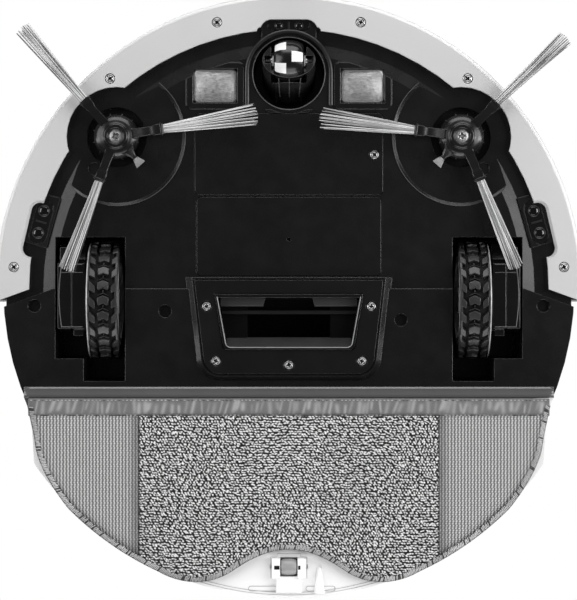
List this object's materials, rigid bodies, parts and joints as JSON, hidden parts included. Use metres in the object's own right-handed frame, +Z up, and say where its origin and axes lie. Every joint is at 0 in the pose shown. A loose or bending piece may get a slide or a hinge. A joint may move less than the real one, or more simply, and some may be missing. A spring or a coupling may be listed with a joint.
{
  "type": "robot vacuum",
  "caption": "Round robot vacuum with a wiping mop plate, sprung bumper, drooping drive wheels, side brushes, suction inlet and rear dust bin.",
  "frame": {"origin": "centre of the bounding box at floor level, under the body", "axes": "+Z up; +Y to the rear, where the mop and dust bin are; -Y to the front bumper; +X to the right-hand wheel in an underside view with the front up"},
  "size_m": [0.325, 0.332, 0.08],
  "materials": {
    "black_plastic": "satin moulded",
    "gloss_black_plastic": "gloss",
    "white_plastic": "satin gloss",
    "tyre_rubber": "matt",
    "steel": "bright",
    "contact_metal": "nickel plated",
    "grey_plastic": "matt",
    "clear_plastic": "translucent, frosted",
    "mop_fabric": "microfibre loop pile and knit",
    "bristle_nylon": "nylon bristle",
    "circuit_board": "solder mask",
    "filter_paper": "pleated",
    "battery_wrap": "shrink wrap"
  },
  "bodies": {
    "chassis": {"chassis": "black_plastic", "top_cover": "white_plastic", "battery_cover": "black_plastic", "battery_cover_screw": "steel", "battery_pack": "battery_wrap", "centre_cover": "black_plastic", "inlet_frame": "black_plastic", "inlet_screw_1": "steel", "inlet_screw_2": "steel", "inlet_screw_3": "steel", "inlet_screw_4": "steel", "inlet_screw_5": "steel", "inlet_duct": "black_plastic", "inlet_lip": "gloss_black_plastic", "main_board": "circuit_board", "fan_housing": "black_plastic", "contact_left": "contact_metal", "contact_right": "contact_metal", "cliff_sensor_front": "gloss_black_plastic", "cliff_sensor_left": "gloss_black_plastic", "cliff_sensor_right": "gloss_black_plastic", "side_brush_motor_left": "steel", "side_brush_motor_right": "steel", "bumper_flange": "white_plastic", "bumper_screw_1": "steel", "bumper_screw_2": "steel", "bumper_screw_3": "steel", "bumper_screw_4": "steel", "bumper_screw_5": "steel", "bumper_screw_6": "steel"},
    "bumper": {"bumper_shell": "white_plastic"},
    "caster": {"caster_fork": "black_plastic", "caster_axle": "steel"},
    "caster_roller": {"caster_wheel": "white_plastic"},
    "brush_left": {"brush_hub_left": "black_plastic", "brush_screw_left": "steel", "bristle_left_1": "bristle_nylon", "bristle_left_2": "bristle_nylon", "bristle_left_3": "bristle_nylon"},
    "brush_right": {"brush_hub_right": "black_plastic", "brush_screw_right": "steel", "bristle_right_1": "bristle_nylon", "bristle_right_2": "bristle_nylon", "bristle_right_3": "bristle_nylon"},
    "wheel_unit_left": {"gearbox_housing_left": "black_plastic", "gearbox_cover_left": "black_plastic"},
    "wheel_unit_right": {"gearbox_housing_right": "black_plastic", "gearbox_cover_right": "black_plastic"},
    "wheel_left": {"drive_rim_left": "black_plastic", "drive_tyre_left": "tyre_rubber"},
    "wheel_right": {"drive_rim_right": "black_plastic", "drive_tyre_right": "tyre_rubber"},
    "fan": {"fan_impeller": "grey_plastic"},
    "bin": {"dust_bin": "grey_plastic", "bin_filter": "filter_paper"},
    "latch": {"bin_latch": "grey_plastic"},
    "button": {"power_button": "grey_plastic"},
    "mop": {"mop_plate": "clear_plastic", "mop_cloth": "mop_fabric"},
    "mop_wheel": {"mop_roller": "grey_plastic"}
  },
  "joints": [
    {"name": "bumper_press", "type": "slide", "parent": "chassis", "child": "bumper", "axis": [0, 1, 0], "range_m": [0, 0.004], "stiffness_N_per_m": 300},
    {"name": "caster_swivel", "type": "hinge", "parent": "chassis", "child": "caster", "pos_m": [0, -0.1223, 0.03], "axis": [0, 0, 1], "continuous": true},
    {"name": "caster_roll", "type": "hinge", "parent": "caster", "child": "caster_roller", "pos_m": [0, -0.1291, 0.0115], "axis": [1, 0, 0], "continuous": true},
    {"name": "wheel_drop_left", "type": "hinge", "parent": "chassis", "child": "wheel_unit_left", "pos_m": [-0.12, -0.0255, 0.03], "axis": [-1, 0, 0], "range_deg": [0, 18], "stiffness_Nm_per_rad": 0.1, "springref_deg": 28.65},
    {"name": "wheel_drop_right", "type": "hinge", "parent": "chassis", "child": "wheel_unit_right", "pos_m": [0.12, -0.0255, 0.03], "axis": [-1, 0, 0], "range_deg": [0, 18], "stiffness_Nm_per_rad": 0.1, "springref_deg": 28.65},
    {"name": "wheel_spin_left", "type": "hinge", "parent": "wheel_unit_left", "child": "wheel_left", "pos_m": [-0.102, 0.003, 0.033], "axis": [1, 0, 0], "continuous": true},
    {"name": "wheel_spin_right", "type": "hinge", "parent": "wheel_unit_right", "child": "wheel_right", "pos_m": [0.102, 0.003, 0.033], "axis": [1, 0, 0], "continuous": true},
    {"name": "brush_spin_left", "type": "hinge", "parent": "chassis", "child": "brush_left", "pos_m": [-0.095, -0.0872, 0.012], "axis": [0, 0, 1], "continuous": true},
    {"name": "brush_spin_right", "type": "hinge", "parent": "chassis", "child": "brush_right", "pos_m": [0.095, -0.0872, 0.012], "axis": [0, 0, 1], "continuous": true},
    {"name": "fan_spin", "type": "hinge", "parent": "chassis", "child": "fan", "pos_m": [-0.057, 0.0185, 0.04], "axis": [0, 0, 1], "continuous": true},
    {"name": "bin_slide", "type": "slide", "parent": "chassis", "child": "bin", "axis": [0, 1, 0], "range_m": [0, 0.11]},
    {"name": "latch_press", "type": "slide", "parent": "bin", "child": "latch", "axis": [0, -1, 0], "range_m": [0, 0.0015], "stiffness_N_per_m": 300},
    {"name": "button_press", "type": "slide", "parent": "chassis", "child": "button", "axis": [0, 0, -1], "range_m": [0, 0.001], "stiffness_N_per_m": 600},
    {"name": "mop_pull", "type": "slide", "parent": "chassis", "child": "mop", "axis": [0, 1, 0], "range_m": [0, 0.03]},
    {"name": "mop_wheel_roll", "type": "hinge", "parent": "mop", "child": "mop_wheel", "pos_m": [0, 0.149, 0.0052], "axis": [1, 0, 0], "continuous": true}
  ]
}
